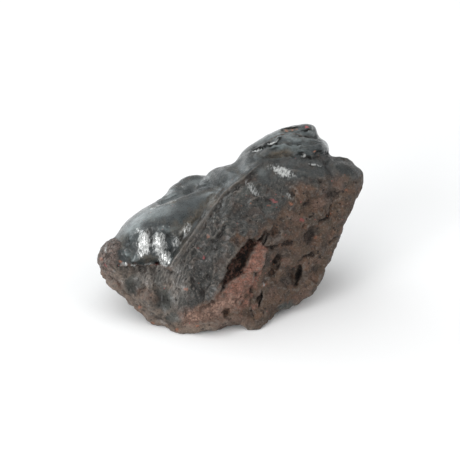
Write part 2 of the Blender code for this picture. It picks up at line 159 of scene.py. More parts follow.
# Plates of the front that stand proud, or lie sunk where the height is below zero.
PLATES = table(
    Plate,
    (0.6, 0.35, ((-4.4, -6.8), (-4.1, -9.7), (-5.0, -14.1), (-6.2, -16.5), (-7.1, -19.0),
                 (-5.8, -19.1), (-3.2, -17.2), (-1.9, -15.1), (-1.5, -13.5), (-0.9, -10.9),
                 (0.9, -7.4), (1.8, -5.3), (1.0, -3.0), (-1.5, -3.4), (-3.2, -5.0))),
    (-0.55, 0.8, ((-7.2, -7.6), (-6.0, -9.0), (-5.8, -12.0), (-6.2, -15.0), (-7.4, -17.4),
                  (-9.2, -16.0), (-10.6, -13.4), (-10.6, -10.6), (-9.0, -8.2))),
    (-0.6, 0.4, ((-12.0, -20.6), (-8.5, -20.7), (-5.8, -19.2), (-3.2, -17.4), (-1.9, -15.3),
                 (0.2, -17.6), (3.6, -17.4), (0.4, -21.0), (-3.0, -22.6), (-8.0, -23.6),
                 (-12.2, -24.0))),
    (-1.7, 0.55, CREVICE),
    (-0.45, 0.8, ((-18.6, -10.6), (-16.2, -11.4), (-16.0, -14.0), (-17.2, -16.4), (-19.4, -16.2),
                  (-19.8, -13.0))),
    (0.3, 0.7, ((9.9, 1.6), (13.0, 1.6), (14.2, -1.2), (13.4, -2.8), (10.6, -3.2), (9.8, -1.4))),
    (-0.5, 0.7, ((9.6, 18.9), (12.0, 19.2), (15.0, 19.7), (17.2, 20.6), (14.6, 20.9), (11.6, 20.4))),
    (0.4, 0.6, ((-23.4, -15.8), (-19.4, -15.6), (-18.8, -17.4), (-20.6, -19.0), (-23.2, -18.6))),
    (-0.6, 0.7, ((23.6, -6.4), (25.6, -7.2), (24.6, -10.6), (22.0, -13.8), (20.6, -12.6),
                 (22.2, -9.2))),
)

# The crevice's slab, which sinks away between these places up, and the crease behind the large lobe.
SLAB_HEIGHT = 0.85
SLAB_FADE = (-18.4, -13.2)
CREASE_DEPTH = 1.35
CREASE_WIDTH = 0.85

# The seam: two ribs beside its middle line, which join into one thin rib toward the upper end.
RIB_OFFSET = 0.55
RIB_WIDTH = 0.24
RIB_HEIGHT = 0.32
THIN_RIB_WIDTH = 0.3
THIN_RIB_HEIGHT = 0.36
THIN_SEAM = (-9.5, -3.5)

# Ridges, or grooves where the height is below zero.
RIDGES = table(
    Ridge,
    (0.55, 0.5, RIM),
    (0.32, 0.3, ((-7.6, 3.4), (-5.9, 5.6), (-4.5, 7.8), (-2.9, 9.8))),
    (0.6, -0.35, ((-16.0, -8.0), (-14.3, -5.0), (-12.3, -2.4), (-10.4, 0.6), (-8.8, 2.8),
                  (-7.0, 5.8))),
    (0.5, -0.35, ((-10.2, -5.4), (-8.6, -2.0), (-7.0, 0.2), (-5.4, 2.8), (-3.7, 5.2), (-1.9, 7.7))),
    (0.4, 0.65, ((-4.3, 4.2), (-4.1, 3.2), (-3.6, 1.2), (-3.5, -0.8))),
    (0.4, 0.65, ((-1.7, 1.8), (-2.2, 0.6), (-3.0, -0.5), (-3.8, -1.6))),
    (0.4, 0.5, ((-6.0, 2.2), (-5.3, 0.8), (-4.6, -1.0), (-4.2, -2.6))),
    (0.55, -0.8, ((-1.6, 0.9), (-2.4, -0.8), (-3.6, -2.4), (-4.6, -3.0))),
    (0.5, 0.55, ((-2.2, 0.9), (-1.2, 0.2), (-0.3, -0.4), (0.6, -0.8), (1.6, -0.6))),
    (0.55, 0.45, ((-3.0, 3.2), (-1.2, 2.5), (0.4, 2.1), (2.2, 2.0), (4.2, 2.6), (6.6, 3.8))),
    (0.6, 0.4, ((-1.4, 7.6), (0.6, 9.4), (3.0, 10.6), (5.2, 11.6), (7.6, 12.2))),
    (0.5, -0.28, ((-0.4, 8.8), (2.0, 11.2), (4.6, 13.0), (7.0, 15.2))),
    (0.45, 0.45, ((6.0, 8.0), (8.2, 8.8), (10.4, 8.2), (12.4, 6.8))),
    (0.35, 0.6, ((-8.8, -3.8), (-9.4, -4.8), (-10.3, -5.9))),
    (0.35, 0.6, ((-8.8, -4.7), (-7.8, -5.5), (-6.8, -6.5))),
    (0.4, 0.6, ((-10.6, -3.6), (-10.0, -5.4), (-10.6, -7.4), (-11.6, -9.2))),
    (0.95, 0.5, ((-4.4, -6.8), (-4.1, -9.7), (-5.0, -14.1), (-6.2, -16.5))),
    (0.5, 0.45, ((-9.0, -7.6), (-10.9, -10.2), (-11.0, -13.4), (-9.4, -16.8))),
    (0.45, -0.75, ((8.5, -4.2), (10.6, -4.5), (13.5, -3.8), (16.2, -3.3))),
    (0.45, -0.65, ((23.3, 2.5), (25.4, 3.0), (26.5, 4.2), (26.9, 6.2))),
    (0.5, -0.5, ((18.5, -8.2), (20.0, -7.1), (22.1, -6.5))),
    (0.45, -0.6, ((26.4, -3.6), (27.6, -2.6), (29.4, -1.8))),
    (0.4, -0.6, ((8.2, 19.4), (11.2, 19.1), (15.9, 20.0), (18.3, 20.3), (21.2, 18.8), (22.7, 19.7),
                 (25.9, 20.3))),
    (0.55, 0.35, ((7.0, 19.6), (10.6, 21.6), (14.6, 22.4), (19.0, 21.9), (23.4, 21.6))),
    (0.5, -0.35, ((8.6, 21.4), (12.4, 22.6), (16.0, 22.9), (20.0, 22.6), (23.6, 22.6))),
    (0.55, 0.4, ((12.6, 24.0), (16.4, 24.4), (20.4, 23.9), (23.4, 23.8))),
    (0.5, -0.45, ((10.4, 23.8), (13.4, 25.0), (17.0, 25.4), (20.8, 25.2), (22.8, 25.0))),
    (0.55, -0.35, ((13.2, 21.2), (16.8, 21.3), (20.4, 20.6), (23.6, 20.6))),
    (0.6, 0.45, ((25.9, 19.6), (26.8, 18.2), (27.7, 16.8), (28.4, 14.8))),
    (0.5, -0.5, ((24.6, 18.6), (25.4, 16.6), (26.4, 14.6))),
    (0.45, 0.35, ((16.7, 15.6), (19.6, 14.9), (22.8, 14.4), (24.9, 13.6))),
    (0.45, -0.35, ((16.6, 14.4), (19.4, 13.8), (22.4, 13.2), (24.5, 12.7))),
    (0.6, 0.7, ((-8.7, -24.5), (-5.3, -24.1), (-2.7, -23.9), (0.0, -24.2))),
    (0.5, 0.55, ((-24.4, -9.8), (-23.4, -11.4), (-22.5, -13.5))),
    (0.5, 0.6, ((-21.2, -9.8), (-21.0, -12.0), (-20.7, -14.6))),
    (0.45, -0.22, ((-22.3, -9.8), (-22.0, -12.0), (-21.7, -13.8))),
    (0.4, -0.16, ((-20.0, -9.9), (-19.8, -12.4))),
    (0.45, 0.45, ((-18.6, -9.6), (-18.0, -11.6), (-17.9, -13.6))),
    (0.6, -0.65, ((-31.4, -12.4), (-28.2, -15.8), (-25.0, -18.8), (-22.2, -21.2), (-19.0, -23.4),
                  (-15.0, -25.2))),
    (0.7, 0.55, LIP),
    (0.4, 0.5, ((12.6, 8.8), (13.8, 9.0), (15.0, 8.6), (16.4, 8.0))),
    (0.5, 0.5, ((16.6, 11.4), (17.6, 9.4), (17.0, 7.2), (15.6, 5.6))),
    (0.6, 0.4, ((9.4, -12.6), (11.6, -14.4), (14.4, -15.6), (18.0, -16.2))),
    (0.5, -0.5, ((5.2, -13.4), (5.8, -16.4), (5.4, -19.4), (6.4, -22.4))),
    (0.8, 1.3, ((-0.5, -12.6), (0.3, -10.6), (1.1, -7.6), (2.6, -5.0), (4.2, -3.6))),
)

# Places where the stone's outline swells, or is drawn in.
SWELLS = table(
    Swell,
    ((22.6, -14.6), 5.0, 1.15),
    ((19.4, -18.0), 3.6, 0.5),
    ((12.6, -22.4), 3.6, -0.6),
    ((9.6, -25.0), 3.0, -0.45),
    ((-24.4, -22.0), 4.0, -0.6),
    ((24.8, 22.2), 3.2, 0.85),
    ((21.4, 28.0), 3.2, 0.45),
    ((1.6, 18.2), 3.4, -0.28),
    ((-15.0, 10.9), 2.6, 0.55),
    ((34.3, 14.4), 3.2, 0.65),
)

# The crevice's middle, painted near-black as shade, and hollows that are stained brown.
CREVICE_HEART = Spot((2.9, -7.6), 4.4, 1.4, 60, 0)
BOSS_HOLLOW = Spot((11.5, -0.2), 2.4, 1.3, 50, -0.55)
BROWN_HOLLOWS = (BOSS_HOLLOW, Spot((-0.9, -21.8), 1.2, 0.7, 62, 0), Spot((11.2, -10.8), 1.5, 0.7, 60, 0))

# Round bumps and pits. Those deeper than DEEP are narrow and sharp, and painted black inside as shade.
DEEP = -1.0
SPOTS = table(
    Spot,
    ((-22.2, -2.0), 3.0, 1.8, 96, 1.0),
    ((-18.2, -3.0), 3.2, 1.8, 94, 1.1),
    ((-17.0, -7.0), 2.3, 1.8, 70, 1.0),
    ((-14.0, -3.0), 2.0, 1.3, 80, 0.7),
    ((-11.4, -0.2), 2.6, 1.4, 62, 0.6),
    ((-15.4, -1.4), 1.6, 1.0, 0, -0.7),
    ((-19.2, -8.6), 0.8, 0.6, 0, -0.8),
    ((-25.2, -3.2), 2.4, 1.4, 100, 0.45),
    ((-7.2, 11.9), 2.2, 1.3, 20, 0.6),
    ((-26.9, -6.1), 1.5, 1.2, 40, 1.2),
    ((-25.0, -7.7), 1.7, 1.3, 10, 1.15),
    ((-22.4, -7.6), 1.5, 1.2, 0, 0.5),
    ((-26.9, -2.6), 1.8, 0.9, 70, -0.6),
    ((-20.4, -1.0), 2.0, 0.7, 88, -0.5),
    ((-17.0, -18.4), 3.0, 2.6, 110, -0.6),
    ((-22.1, -17.4), 3.0, 1.6, -25, 0.35),
    ((-25.6, -15.0), 2.2, 1.7, 0, -0.35),
    ((-21.9, -11.9), 1.6, 0.5, 85, -0.2),
    ((-17.8, -12.7), 1.4, 0.6, 70, -0.25),
    ((-16.8, -23.2), 1.0, 0.8, 0, -0.6),
    ((2.5, 4.6), 4.4, 3.0, 10, -0.35),
    ((-0.6, 1.9), 1.6, 0.8, 0, -0.5),
    BOSS_HOLLOW,
    ((9.1, -2.6), 2.2, 0.36, 66, -1.5),
    ((12.4, -9.5), 1.2, 0.6, 74, -0.9),
    ((11.2, -10.9), 1.4, 0.6, 60, -0.6),
    ((18.2, -11.5), 2.5, 1.0, 76, -1.8),
    ((17.7, -14.0), 0.9, 0.7, 40, -0.9),
    ((20.6, -6.8), 1.6, 0.7, 24, -0.35),
    ((7.9, -18.2), 2.7, 0.33, 80, -1.6),
    ((-0.9, -21.8), 0.85, 0.45, 62, -0.5),
    ((5.2, -20.8), 0.6, 0.6, 0, -0.7),
    ((21.5, -1.0), 3.0, 1.8, 75, -0.3),
    ((27.1, 9.4), 2.4, 1.8, 30, -0.8),
    ((19.9, 6.6), 0.8, 0.6, 0, -0.3),
    ((21.2, 3.6), 0.7, 0.6, 0, -0.6),
    ((19.4, 0.8), 1.4, 1.0, 60, -0.6),
    ((23.8, 4.8), 1.8, 1.2, 20, 0.6),
    ((15.6, 22.9), 1.2, 0.5, 0, -0.4),
    ((18.6, 22.7), 0.9, 0.5, 0, -0.4),
    ((18.9, 20.1), 0.9, 0.5, 0, -0.6),
    ((7.3, 21.3), 1.7, 0.45, 22, -0.6),
    ((11.2, 23.2), 2.0, 0.45, 20, -0.6),
    ((15.9, 26.9), 2.8, 0.7, 6, -0.4),
)

# Bright patches where the crust is polished metal-grey. The height is their strength, as in the tables
# of colours below.
GLINTS = table(
    Spot,
    ((-22.4, -3.1), 3.4, 2.1, 96, 1.0),
    ((-23.2, -6.2), 1.4, 1.0, 50, 0.8),
    ((-18.4, -3.7), 3.6, 2.1, 97, 1.0),
    ((-17.0, -7.3), 2.4, 2.0, 75, 0.95),
    ((-14.0, -3.0), 1.6, 1.5, 80, 0.62),
    ((-11.2, 0.2), 2.4, 1.3, 62, 0.6),
    ((-24.2, -0.2), 1.2, 0.9, 60, 0.7),
    ((-16.8, 0.9), 1.8, 0.3, 0, 0.35),
    ((-20.8, 5.5), 2.8, 0.26, 22, 0.5),
    ((-16.0, 7.2), 2.8, 0.24, 18, 0.45),
    ((-13.0, 11.6), 2.4, 0.24, 16, 0.35),
    ((-27.8, -8.9), 0.8, 0.7, 0, 1.0),
    ((-25.2, -9.1), 1.1, 0.55, 0, 1.0),
    ((-21.6, -8.6), 0.9, 0.3, 0, 0.8),
    ((-32.5, -4.8), 0.7, 1.6, 0, 0.6),
    ((13.5, 15.3), 4.2, 1.45, -25, 0.9),
    ((5.9, 10.7), 3.2, 1.1, -50, 0.66),
    ((15.4, 8.9), 1.8, 0.9, -30, 0.5),
    ((-1.6, 2.0), 1.4, 0.5, 60, 0.35),
    ((-4.0, 2.2), 1.6, 0.4, 75, 0.35),
    ((-8.2, -5.2), 1.4, 0.4, -40, 0.3),
    ((19.6, 19.5), 0.8, 0.5, 20, 0.9),
    ((22.4, 17.1), 2.2, 0.4, -12, 0.75),
    ((7.3, 21.3), 1.7, 0.42, 22, 1.0),
    ((11.2, 23.2), 1.9, 0.36, 20, 0.9),
    ((21.9, 26.8), 0.4, 1.3, 0, 0.5),
    ((8.9, -14.4), 1.0, 0.45, -60, 0.75),
)

# Tan patches of the crust, where its skin has worn thin.
TAN_PATCHES = table(
    Spot,
    ((13.0, 19.9), 4.6, 1.2, 12, 1.0),
    ((15.9, 26.9), 2.8, 0.6, 8, 1.0),
    ((19.6, 24.6), 3.4, 0.6, 0, 0.5),
    ((-15.4, 7.3), 1.4, 0.8, 30, 0.7),
    ((-14.2, 0.6), 1.3, 2.4, 20, 0.4),
    ((-8.6, 4.4), 1.4, 3.6, -30, 0.9),
    ((-11.2, 1.2), 1.6, 4.0, -32, 0.8),
    ((-5.2, 7.4), 1.1, 2.8, -35, 0.9),
    ((-21.0, -7.4), 2.8, 0.8, 0, 0.6),
    ((-12.6, -4.4), 1.4, 2.8, -14, 0.6),
    ((-4.2, 10.8), 2.6, 0.8, 10, 0.6),
    ((2.4, 15.0), 1.6, 0.8, -50, 0.5),
    ((-29.0, -3.6), 1.0, 2.2, -20, 0.7),
    ((9.6, 17.0), 2.4, 0.7, 25, 0.5),
)

# Crests of the crust with a painted pale blue sheen, a painted highlight; the coat is glossier there too.
PAINTED_SHEEN = table(
    Spot,
    ((-24.6, 1.9), 4.8, 2.0, 40, 1.0),
    ((-18.4, 4.6), 5.0, 1.6, 26, 0.9),
    ((-19.0, 6.4), 5.6, 0.8, 21, 1.0),
    ((8.2, 15.4), 2.6, 1.3, 30, 0.7),
    ((18.0, 20.9), 3.4, 0.8, 0, 0.8),
    ((16.0, 26.0), 3.8, 0.8, 6, 0.9),
    ((-26.9, -5.9), 1.5, 1.1, 30, 1.0),
    ((-25.0, -7.3), 1.6, 1.0, 10, 1.0),
    ((-16.4, 0.4), 3.4, 0.7, 0, 0.7),
    ((-14.8, 9.4), 5.0, 1.4, 22, 1.0),
    ((-9.0, 13.0), 3.4, 1.0, 12, 0.6),
    ((15.4, 28.2), 6.4, 0.8, 12, 1.0),
    ((17.8, 25.5), 6.0, 0.55, 2, 1.0),
    ((12.0, 25.6), 2.6, 1.2, 30, 0.8),
    ((18.0, 23.9), 5.0, 0.7, 0, 0.9),
    ((16.0, 22.0), 6.4, 0.8, 2, 0.9),
    ((8.4, 25.0), 3.4, 1.0, 44, 0.8),
    ((25.2, 22.8), 3.6, 0.8, -66, 1.0),
    ((-6.0, 9.6), 3.0, 0.9, 20, 0.5),
)

# Near-black patches: dark stone, and painted shade on crust and in pits too fine for relief.
DARK_PATCHES_AND_SHADE = table(
    Spot,
    ((7.3, 21.3), 2.5, 0.85, 22, 1.0),
    ((11.2, 23.2), 2.8, 0.8, 20, 1.0),
    ((13.5, 15.3), 4.3, 1.9, -25, 0.45),
    ((5.9, 10.7), 3.2, 1.2, -50, 0.4),
    ((6.2, 10.3), 0.6, 0.4, -50, 1.0),
    ((15.8, 27.35), 2.8, 0.35, 6, 0.8),
    ((16.2, 26.35), 2.6, 0.3, 8, 0.7),
    ((20.6, 26.3), 1.6, 0.35, 10, 0.7),
    ((19.6, 24.9), 2.4, 0.3, -4, 0.6),
    ((15.6, 22.4), 0.9, 0.35, 0, 0.8),
    ((18.5, 22.6), 0.8, 0.35, 0, 0.8),
    ((11.8, 21.2), 2.0, 0.3, 14, 0.5),
    ((19.0, 20.2), 1.0, 0.45, 10, 0.5),
    ((20.8, 19.2), 0.9, 0.4, -40, 0.9),
    ((22.4, 17.1), 2.6, 0.6, -12, 0.5),
    ((23.2, 20.4), 1.6, 0.4, 20, 0.6),
    ((26.2, 20.4), 1.2, 0.5, 0, 0.7),
    ((-15.4, -1.3), 1.6, 0.9, 0, 0.4),
    ((-15.0, -6.2), 0.8, 1.8, 20, 0.38),
    ((-20.4, -3.6), 0.45, 2.6, -4, 0.45),
    ((-12.7, -2.4), 0.5, 2.0, -20, 0.42),
    ((-24.6, -4.6), 0.6, 2.0, 10, 0.4),
    ((-18.9, -8.5), 0.9, 0.5, 0, 0.8),
    ((-5.3, 8.1), 2.2, 1.0, 50, 0.46),
    ((-1.9, 12.0), 2.4, 0.8, 42, 0.4),
    ((21.0, 2.4), 3.4, 2.2, 0, 0.29),
    ((-8.6, 3.4), 2.4, 0.5, 58, 0.38),
    ((3.2, 4.2), 3.4, 2.1, 10, 0.31),
    ((-1.9, 0.2), 1.6, 0.4, 55, 0.7),
    ((-8.0, -12.4), 2.2, 1.3, 70, 0.35),
    ((-17.0, -18.4), 2.0, 1.5, -60, 0.4),
    ((21.5, -1.2), 2.6, 1.5, 75, 0.38),
    ((-3.6, 12.8), 4.8, 2.8, 38, 0.45),
    ((5.4, 18.8), 3.0, 1.8, 45, 0.44),
    ((30.0, 16.0), 3.4, 2.6, 0, 0.38),
    ((-17.0, -23.2), 3.6, 1.8, -15, 0.36),
    ((-29.5, -13.5), 2.6, 1.6, -50, 0.38),
    ((13.0, 5.0), 2.8, 2.0, 0, 0.34),
)

# Coloured flecks of the broken stone, and larger soft patches of slate grey, clay and umber.
SOFT_FLECKS = ("slate", "clay", "umber")
FLECKS = {
    "red": (
        ((11.2, 7.6), 1.1, 0.32, -20), ((-6.7, -7.2), 0.5, 0.45, 0), ((20.5, 27.3), 0.45, 0.28, 0),
        ((-19.2, -8.8), 0.35, 0.25, 0), ((18.8, 2.6), 0.7, 0.5, 30), ((-32.8, -9.2), 0.5, 0.4, 0)),
    "orange": (
        ((-28.8, -8.3), 0.5, 0.4, 0), ((14.9, 26.8), 0.3, 0.25, 0), ((16.5, 27.0), 0.35, 0.25, 0),
        ((17.9, 27.1), 0.3, 0.25, 0), ((22.6, 21.0), 0.22, 0.22, 0), ((10.1, 6.4), 0.4, 0.3, 0),
        ((-11.3, -15.3), 0.5, 0.5, 0), ((-13.8, -26.0), 0.6, 0.4, 0), ((-20.1, -24.4), 0.55, 0.35, -40),
        ((-24.1, -20.7), 0.5, 0.35, -40), ((-8.6, -24.9), 0.5, 0.4, 0), ((9.0, -14.4), 0.8, 0.35, 40),
        ((22.5, -1.9), 0.5, 0.4, 0), ((-5.6, -1.6), 0.4, 0.4, 0), ((15.7, 6.9), 0.5, 0.25, -10),
        ((-34.0, -7.6), 0.5, 0.4, 0), ((30.6, 10.4), 0.6, 0.4, 0)),
    "slate": (
        ((-16.9, -18.2), 3.8, 2.8, 110), ((-14.6, -22.8), 2.8, 1.6, 10), ((-25.2, -14.0), 3.0, 2.3, 70),
        ((-18.6, -12.8), 1.3, 2.6, 0), ((-12.6, -19.6), 1.2, 2.6, 0), ((15.2, -20.0), 2.8, 1.3, 25),
        ((4.6, 10.4), 2.8, 1.6, 30), ((10.6, 6.2), 2.6, 1.4, 20)),
    "umber": (
        ((14.0, -14.0), 2.8, 1.6, 40), ((9.8, -8.0), 1.2, 3.4, -14), ((13.8, -6.2), 2.8, 1.0, 10),
        ((11.4, -0.4), 3.6, 1.9, 35), ((21.5, -1.2), 3.0, 1.9, 75), ((27.0, 9.2), 2.6, 1.6, 40)),
    "clay": (
        ((-21.6, -17.0), 3.6, 1.5, -25), ((-10.4, -22.6), 3.0, 1.6, 0), ((0.0, -24.2), 6.0, 1.8, 0),
        ((18.6, -17.4), 2.8, 1.5, 45), ((-29.4, -13.6), 2.4, 1.2, -50), ((14.6, -8.2), 1.6, 1.2, 0),
        ((22.6, -8.4), 2.0, 1.0, 0), ((11.0, -16.6), 1.8, 1.0, 60), ((24.0, 7.4), 3.0, 1.6, 30),
        ((16.6, 3.4), 2.2, 1.2, -30), ((28.4, 12.0), 1.6, 2.2, 0)),
}

# Colours of the stone's textures, from their darkest to their palest.
GREY_STONE = ((0.025, 0.027, 0.026), (0.090, 0.091, 0.085))
BROWN_STONE = ((0.048, 0.029, 0.019), (0.172, 0.107, 0.072))
RED_SLAB = ((0.130, 0.062, 0.044), (0.430, 0.200, 0.145))
LOW_RED_BAND = ((0.190, 0.110, 0.082), (0.480, 0.300, 0.230))
GREY_FIBRES = ((0.066, 0.064, 0.060), (0.340, 0.322, 0.298))
GREY_LEAF = ((0.016, 0.017, 0.016), (0.080, 0.078, 0.074))
# Pale stone, painted lighter as painted light on the lower left.
PALE_PAINTED_LIGHT_STONE = ((0.084, 0.071, 0.059), (0.380, 0.292, 0.232))
SLATE = ((0.042, 0.045, 0.041), (0.120, 0.126, 0.116))
CLAY = ((0.090, 0.055, 0.042), (0.250, 0.155, 0.115))
UMBER = ((0.034, 0.026, 0.022), (0.110, 0.086, 0.072))
ROUGH_KNOB = ((0.050, 0.034, 0.028), (0.290, 0.210, 0.180))
# The crevice's red-brown stone, and its painted shade.
CREVICE_RED_AND_SHADE = ((0.016, 0.009, 0.007), (0.250, 0.120, 0.085))
HOLLOW_STAIN = ((0.030, 0.015, 0.009), (0.120, 0.062, 0.034))
CRUST_SKIN = ((0.007, 0.011, 0.012), (0.018, 0.026, 0.028))
# The colour of the sheen painted on the crests.
PAINTED_SHEEN_COLOUR = (0.140, 0.168, 0.170)
SKIN_TAN = (0.100, 0.080, 0.056)
POLISHED = (0.54, 0.55, 0.54)
DARK_AND_SHADE_BLACK = (0.006, 0.006, 0.005)
PAINTED_PIT_SHADE = (0.006, 0.004, 0.003)
HOLLOW_BLACK = (0.010, 0.006, 0.005)
ORANGE_SPECK = (0.340, 0.120, 0.060)
PINK_SPECK = (0.360, 0.100, 0.085)
PALE_SPECK = (0.300, 0.270, 0.240)
ORANGE_FLECK = (0.350, 0.150, 0.092)
RED_FLECK = (0.400, 0.085, 0.088)

# The studio. The floor lies a little under the stone, and the lights face the stone's middle.
FLOOR_COLOUR = (0.88, 0.88, 0.88, 1)
FLOOR_SIZE = 6
FLOOR_GAP = 0.05
SKY_STRENGTH = 0.52
STONE_MIDDLE = (0, 0, 0.02)


def soft_step(low, high, values):
    """From 0 at low to 1 at high, with soft ends."""
    share = np.clip((values - low) / (high - low), 0, 1)
    return share * share * (3 - 2 * share)


def bell(distance, width):
    """From 1 at no distance, falling off softly over about a width."""
    return np.exp(-(distance / width) ** 2)


def turned(degrees):
    """The axes of something that is turned in the plane of the drawing."""
    cos, sin = math.cos(math.radians(degrees)), math.sin(math.radians(degrees))
    return np.array([(cos, sin), (-sin, cos)])


def from_line(points, corners):
    """The distance to the nearest place on a line through the corners."""
    nearest = np.full(len(points), np.inf)
    corners = np.array(corners, float)
    for start, end in zip(corners, corners[1:]):
        run = end - start
        share = np.clip((points - start) @ run / (run @ run), 0, 1)
        nearest = np.minimum(nearest, np.linalg.norm(points - start - share[:, None] * run, axis=1))
    return nearest


def from_area(points, corners):
    """The distance outside an area with these corners; below zero inside it."""
    corners = corners + corners[:1]
    x, y = points.T
    inside = np.zeros(len(points), bool)
    for (x0, y0), (x1, y1) in zip(corners, corners[1:]):
        if y0 != y1:
            inside ^= ((y0 > y) != (y1 > y)) & (x < x0 + (y - y0) * (x1 - x0) / (y1 - y0))
    off = from_line(points, corners)
    return np.where(inside, -off, off)


def from_spot(points, spot):
    """How far out each point is in a spot: 0 at its middle, 1 at its edge."""
    local = (points - np.array(spot.place)) @ turned(spot.turn).T / (spot.long, spot.wide)
    return np.linalg.norm(local, axis=1)


def strongest(spots, points, faint, full, fray=0):
    """How strongly the spots mark each point: 0 as far out as faint, and their height from full inward."""
    most = np.zeros(len(points))
    for spot in spots:
        most = np.maximum(most, spot.height * soft_step(faint, full, from_spot(points, spot) + fray))
    return most


def grain(points, size, seed, stretch=(1, 1, 1), turn=0):
    """Smooth noise of about -0.5 to 0.5 over the points, in grains of one size that may be drawn out."""
    scaled = points.copy()
    scaled[:, :2] = scaled[:, :2] @ turned(turn).T
    scaled = scaled / (np.array(stretch) * size) + SEED_STEP * seed
    return np.array([noise.noise(point) for point in scaled])


def tipped(x, y, z):
    """Lengths along the stone's own axes, as lengths across, up and toward the viewer."""
    return np.stack([x, SIN * y + COS * z, SIN * z - COS * y], axis=1)


def onto_drawing(points):
    """Points of the stone in metres, taken onto the drawing."""
    return tipped(*(points / MM - np.array(DRAWING_MIDDLE)).T)


def off_drawing(moves):
    """Moves on the drawing in millimetres, as moves of the stone in metres."""
    across, up, toward = moves.T
    return np.stack([across, SIN * up - COS * toward, COS * up + SIN * toward], axis=1) * MM


def added(name, data):
    """A new object in the scene."""
    thing = bpy.data.objects.new(name, data)
    bpy.context.scene.collection.objects.link(thing)
    return thing


class Surface:
    """The worked surface: its points, which way they face, and their neighbours."""

    def __init__(self, mesh):
        self.mesh = mesh
        self.points = np.zeros((len(mesh.vertices), 3))
        mesh.vertices.foreach_get("co", self.points.ravel())
        edges = np.zeros(len(mesh.edges) * 2, int)
        mesh.edges.foreach_get("vertices", edges)
        edges = edges.reshape(-1, 2)
        self.here = np.concatenate([edges[:, 0], edges[:, 1]])
        self.there = np.concatenate([edges[:, 1], edges[:, 0]])
        self.count = np.maximum(np.bincount(self.here, minlength=len(self.points)), 1)

    def averaged(self, values):
        """Each point's neighbours' average."""
        total = [np.bincount(self.here, column[self.there], len(self.points)) for column in values.T]
        return np.stack(total, axis=1) / self.count[:, None]

    def smooth(self, rounds, share):
        """Smooths the points where the share is above 0."""
        for _ in range(rounds):
            self.points += (self.averaged(self.points) - self.points) * 0.5 * share[:, None]

    def normals(self):
        """Writes the points back into the mesh, and gives which way each one faces."""
        self.mesh.vertices.foreach_set("co", self.points.ravel())
        self.mesh.update()
        normals = np.zeros(len(self.points) * 3)
        self.mesh.vertices.foreach_get("normal", normals)
        return normals.reshape(-1, 3)

    def facing(self):
        """Which way each point faces, on the drawing."""
        return tipped(*self.normals().T)

    def hollowness(self, rounds, depth):
        """From 0 on ridges to 1 in hollows: how far each point is under its smoothed place, in depths."""
        smoothed = self.points.copy()
        for _ in range(rounds):
            smoothed += (self.averaged(smoothed) - smoothed) * 0.5
        under = np.sum((smoothed - self.points) * self.normals(), axis=1)
        return 0.5 + 0.5 * np.clip(under / (depth * MM), -1, 1)

    def mark(self, name, values):
        """Keeps one value for each point as an attribute that the finish reads."""
        layer = self.mesh.attributes.new(name, "FLOAT", "POINT")
        layer.data.foreach_set("value", np.clip(values, 0, 1).astype(np.float32))


class Places:
    """Where the surface's points lie on the drawing, and which of them are on the front."""

    def __init__(self, surface):
        self.drawn = onto_drawing(surface.points)
        self.across, self.up, toward = self.drawn.T
        self.wander = self.drift(3.0, 1)
        self.jitter = self.drift(1.1, 15)
        facing = surface.facing()[:, 2]
        self.seen = soft_step(-0.05, 0.15, facing)
        self.front = soft_step(-0.05, 0.25, facing) * soft_step(-13, -9, toward)
        self.flat = self.bent(0.9, 0.3)
        self.rough = self.bent(0.35, 0.55)

    def drift(self, size, seed):
        """A small move across and up for each point, alike within a size."""
        return np.stack([grain(self.drawn, size, seed), grain(self.drawn, size, seed + 1)], axis=1)

    def bent(self, wander, jitter):
        """The places across and up, moved about so that the edges found from them aren't ruled."""
        return self.drawn[:, :2] + wander * self.wander + jitter * self.jitter


def even_copy(node):
    """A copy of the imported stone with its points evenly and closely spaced."""
    shape = bmesh.new()
    shape.from_mesh(node.data)
    bmesh.ops.remove_doubles(shape, verts=shape.verts, dist=SAME_POINT * MM)
    mesh = bpy.data.meshes.new("packed")
    shape.to_mesh(mesh)
    shape.free()
    rough = added("packed", mesh)
    remesh = rough.modifiers.new("even", "REMESH")
    remesh.mode = "VOXEL"
    remesh.voxel_size = POINT_SPACING * MM
    graph = bpy.context.evaluated_depsgraph_get()
    even = bpy.data.meshes.new_from_object(rough.evaluated_get(graph))
    bpy.data.objects.remove(rough)
    bpy.data.meshes.remove(mesh)
    even.name = "stone"
    even.materials.clear()
    even.shade_smooth()
    return even


def crust_lobes(points):
    """Roughly the distance to the nearest lobe of the crust."""
    nearest = np.full(len(points), np.inf)
    for lobe in CRUST_LOBES:
        local = points - np.array(lobe.middle)
        local[:, :2] = local[:, :2] @ turned(lobe.turn).T
        radii = np.array([lobe.long, lobe.wide, lobe.deep])
        inner = np.linalg.norm(local / radii, axis=1)
        slope = np.linalg.norm(local / radii**2, axis=1) + 1e-9
        nearest = np.minimum(nearest, inner * (inner - 1) / slope)
    return nearest


